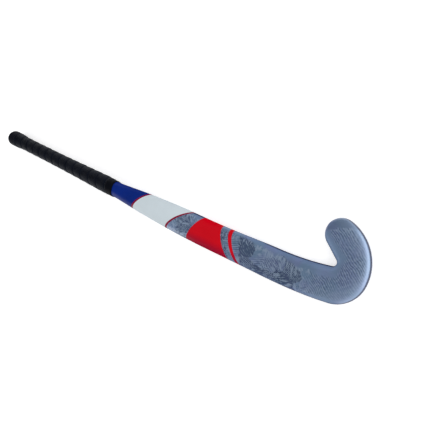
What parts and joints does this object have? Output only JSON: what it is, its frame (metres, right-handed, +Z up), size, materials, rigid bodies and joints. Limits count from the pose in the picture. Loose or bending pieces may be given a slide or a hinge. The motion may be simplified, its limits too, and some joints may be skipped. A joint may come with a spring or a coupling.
{
  "type": "indoor hockey stick",
  "caption": "Slim indoor hockey stick with a rounded handle, helical wrapped grip, bowed flat-faced shaft and curled D-section hook, lying on its flat side.",
  "frame": {"origin": "middle of the stick's footprint, at the height of the ground it lies on", "axes": "+X from the butt to the hook along the stick, +Y towards the toe of the hook, +Z up out of the rounded back"},
  "size_m": [0.9295, 0.1285, 0.0477],
  "materials": {
    "slate_lacquer": "clear gloss lacquer over patterned slate blue",
    "blue_lacquer": "clear gloss lacquer over royal blue",
    "white_lacquer": "clear gloss lacquer over cool white",
    "red_lacquer": "clear gloss lacquer over red",
    "cap_rubber": "smooth satin rubber",
    "wrap_leatherette": "padded synthetic leather, slight sheen",
    "tape_vinyl": "smooth vinyl tape",
    "underlay_foam": "matt foam rubber",
    "core_foam": "rigid foam",
    "weight_steel": "turned steel",
    "bare_carbon": "bare carbon laminate",
    "reinforcing_cloth": "woven reinforcing cloth in resin"
  },
  "bodies": {
    "root": {"outer_laminate": "slate_lacquer", "blue_film": "blue_lacquer", "upper_pinstripe": "red_lacquer", "white_film": "white_lacquer", "lower_pinstripe": "red_lacquer", "red_band": "red_lacquer", "red_line": "red_lacquer", "butt_cap": "cap_rubber", "overgrip": "wrap_leatherette", "finishing_tape": "tape_vinyl", "grip_underlay": "underlay_foam", "butt_plug": "core_foam", "balance_weight": "weight_steel", "toe_side_tube": "bare_carbon", "heel_side_tube": "bare_carbon", "centre_web": "bare_carbon", "core_bulkhead": "core_foam", "head_foam_core": "core_foam", "face_reinforcing_ply": "reinforcing_cloth", "heel_reinforcing_ply": "reinforcing_cloth"}
  },
  "joints": []
}
